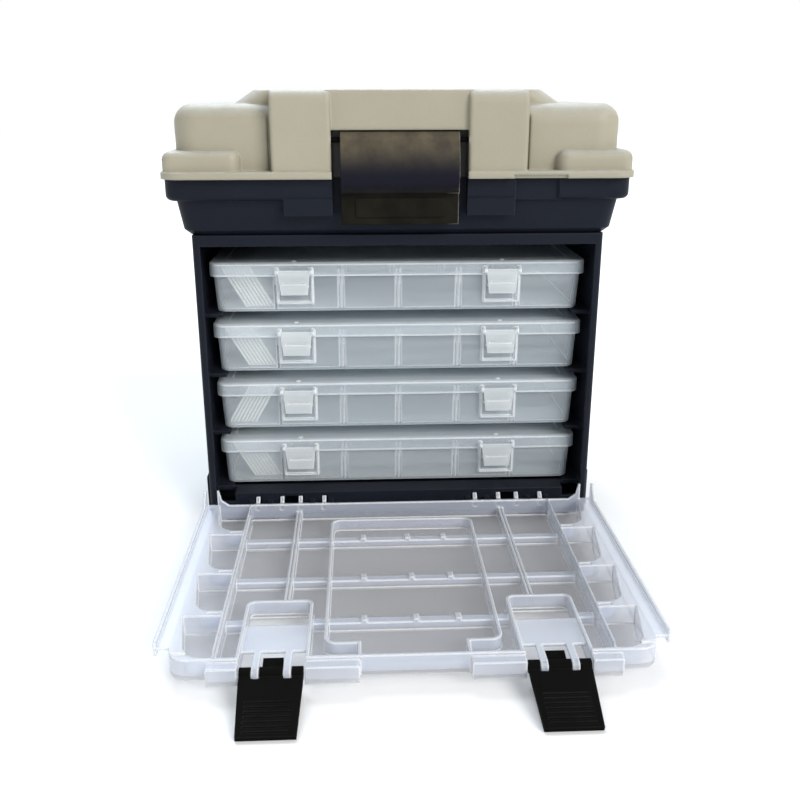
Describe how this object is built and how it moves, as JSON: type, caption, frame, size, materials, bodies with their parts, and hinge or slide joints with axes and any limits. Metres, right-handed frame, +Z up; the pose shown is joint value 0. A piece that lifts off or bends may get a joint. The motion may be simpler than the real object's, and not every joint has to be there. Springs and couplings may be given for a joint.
{
  "type": "fishing tackle cabinet",
  "caption": "Fishing tackle cabinet: clear tray boxes behind a drop-down clear door, under a top bin with a hinged lid, lever latch and folding carry handle.",
  "frame": {"origin": "centre of the body's footprint, on the underside of the middle foot", "axes": "X to the right seen from the front, Y to the back, Z up; the door opens towards -Y"},
  "size_m": [0.27, 0.3733, 0.2664],
  "materials": {
    "navy_body": "fine grained moulded",
    "sand_lid": "fine grained moulded",
    "black_lever": "satin",
    "black_latch": "satin",
    "clear": "clear, slightly milky",
    "white": "satin",
    "steel": "plain"
  },
  "bodies": {
    "cabinet": {"cabinet_body": "navy_body", "top_bin": "navy_body", "bin_screws": "steel", "lid_hinge_rods": "steel", "door_hinge_rods": "steel"},
    "lid": {"lid": "sand_lid", "lid_latch_pin": "steel", "handle_pins": "steel"},
    "lid_latch": {"lid_latch": "black_lever"},
    "carry_handle": {"carry_handle": "black_lever"},
    "door": {"door": "clear", "door_latch_pins": "clear"},
    "door_latch_left": {"door_latch_left": "black_latch"},
    "door_latch_right": {"door_latch_right": "black_latch"},
    "tray_1": {"tray_1_base": "clear", "tray_1_hinge_pins": "steel", "tray_1_dividers": "white"},
    "tray_1_lid": {"tray_1_lid": "clear"},
    "tray_1_latch_left": {"tray_1_latch_left": "clear"},
    "tray_1_latch_right": {"tray_1_latch_right": "clear"},
    "tray_2": {"tray_2_base": "clear", "tray_2_hinge_pins": "steel", "tray_2_dividers": "white"},
    "tray_2_lid": {"tray_2_lid": "clear"},
    "tray_2_latch_left": {"tray_2_latch_left": "clear"},
    "tray_2_latch_right": {"tray_2_latch_right": "clear"},
    "tray_3": {"tray_3_base": "clear", "tray_3_hinge_pins": "steel", "tray_3_dividers": "white"},
    "tray_3_lid": {"tray_3_lid": "clear"},
    "tray_3_latch_left": {"tray_3_latch_left": "clear"},
    "tray_3_latch_right": {"tray_3_latch_right": "clear"},
    "tray_4": {"tray_4_base": "clear", "tray_4_hinge_pins": "steel", "tray_4_dividers": "white"},
    "tray_4_lid": {"tray_4_lid": "clear"},
    "tray_4_latch_left": {"tray_4_latch_left": "clear"},
    "tray_4_latch_right": {"tray_4_latch_right": "clear"}
  },
  "joints": [
    {"name": "lid_hinge", "type": "hinge", "parent": "cabinet", "child": "lid", "pos_m": [0, 0.0885, 0.217], "axis": [-1, 0, 0], "range_deg": [0, 100]},
    {"name": "lid_latch_hinge", "type": "hinge", "parent": "lid", "child": "lid_latch", "pos_m": [0, -0.0789, 0.2397], "axis": [-1, 0, 0], "range_deg": [0, 90]},
    {"name": "carry_handle_hinge", "type": "hinge", "parent": "lid", "child": "carry_handle", "pos_m": [0, 0.023, 0.2614], "axis": [-1, 0, 0], "range_deg": [0, 90]},
    {"name": "door_hinge", "type": "hinge", "parent": "cabinet", "child": "door", "pos_m": [0, -0.0746, 0.0159], "axis": [1, 0, 0], "range_deg": [-90, 0]},
    {"name": "door_latch_left_hinge", "type": "hinge", "parent": "door", "child": "door_latch_left", "pos_m": [-0.067, -0.2467, 0.0105], "axis": [-1, 0, 0], "range_deg": [-164.93, 0]},
    {"name": "door_latch_right_hinge", "type": "hinge", "parent": "door", "child": "door_latch_right", "pos_m": [0.067, -0.2467, 0.0105], "axis": [-1, 0, 0], "range_deg": [-164.93, 0]},
    {"name": "tray_1_slide", "type": "slide", "parent": "cabinet", "child": "tray_1", "axis": [0, -1, 0], "range_m": [0, 0.12]},
    {"name": "tray_1_lid_hinge", "type": "hinge", "parent": "tray_1", "child": "tray_1_lid", "pos_m": [0, 0.0661, 0.0439], "axis": [-1, 0, 0], "range_deg": [0, 1.8]},
    {"name": "tray_1_latch_left_hinge", "type": "hinge", "parent": "tray_1_lid", "child": "tray_1_latch_left", "pos_m": [-0.063, -0.0616, 0.0491], "axis": [-1, 0, 0], "range_deg": [0, 100]},
    {"name": "tray_1_latch_right_hinge", "type": "hinge", "parent": "tray_1_lid", "child": "tray_1_latch_right", "pos_m": [0.063, -0.0616, 0.0491], "axis": [-1, 0, 0], "range_deg": [0, 100]},
    {"name": "tray_2_slide", "type": "slide", "parent": "cabinet", "child": "tray_2", "axis": [0, -1, 0], "range_m": [0, 0.12]},
    {"name": "tray_2_lid_hinge", "type": "hinge", "parent": "tray_2", "child": "tray_2_lid", "pos_m": [0, 0.0661, 0.0817], "axis": [-1, 0, 0], "range_deg": [0, 1.8]},
    {"name": "tray_2_latch_left_hinge", "type": "hinge", "parent": "tray_2_lid", "child": "tray_2_latch_left", "pos_m": [-0.063, -0.0616, 0.0869], "axis": [-1, 0, 0], "range_deg": [0, 100]},
    {"name": "tray_2_latch_right_hinge", "type": "hinge", "parent": "tray_2_lid", "child": "tray_2_latch_right", "pos_m": [0.063, -0.0616, 0.0869], "axis": [-1, 0, 0], "range_deg": [0, 100]},
    {"name": "tray_3_slide", "type": "slide", "parent": "cabinet", "child": "tray_3", "axis": [0, -1, 0], "range_m": [0, 0.12]},
    {"name": "tray_3_lid_hinge", "type": "hinge", "parent": "tray_3", "child": "tray_3_lid", "pos_m": [0, 0.0661, 0.1195], "axis": [-1, 0, 0], "range_deg": [0, 1.8]},
    {"name": "tray_3_latch_left_hinge", "type": "hinge", "parent": "tray_3_lid", "child": "tray_3_latch_left", "pos_m": [-0.063, -0.0616, 0.1247], "axis": [-1, 0, 0], "range_deg": [0, 100]},
    {"name": "tray_3_latch_right_hinge", "type": "hinge", "parent": "tray_3_lid", "child": "tray_3_latch_right", "pos_m": [0.063, -0.0616, 0.1247], "axis": [-1, 0, 0], "range_deg": [0, 100]},
    {"name": "tray_4_slide", "type": "slide", "parent": "cabinet", "child": "tray_4", "axis": [0, -1, 0], "range_m": [0, 0.12]},
    {"name": "tray_4_lid_hinge", "type": "hinge", "parent": "tray_4", "child": "tray_4_lid", "pos_m": [0, 0.0661, 0.1573], "axis": [-1, 0, 0], "range_deg": [0, 1.8]},
    {"name": "tray_4_latch_left_hinge", "type": "hinge", "parent": "tray_4_lid", "child": "tray_4_latch_left", "pos_m": [-0.063, -0.0616, 0.1625], "axis": [-1, 0, 0], "range_deg": [0, 100]},
    {"name": "tray_4_latch_right_hinge", "type": "hinge", "parent": "tray_4_lid", "child": "tray_4_latch_right", "pos_m": [0.063, -0.0616, 0.1625], "axis": [-1, 0, 0], "range_deg": [0, 100]}
  ]
}
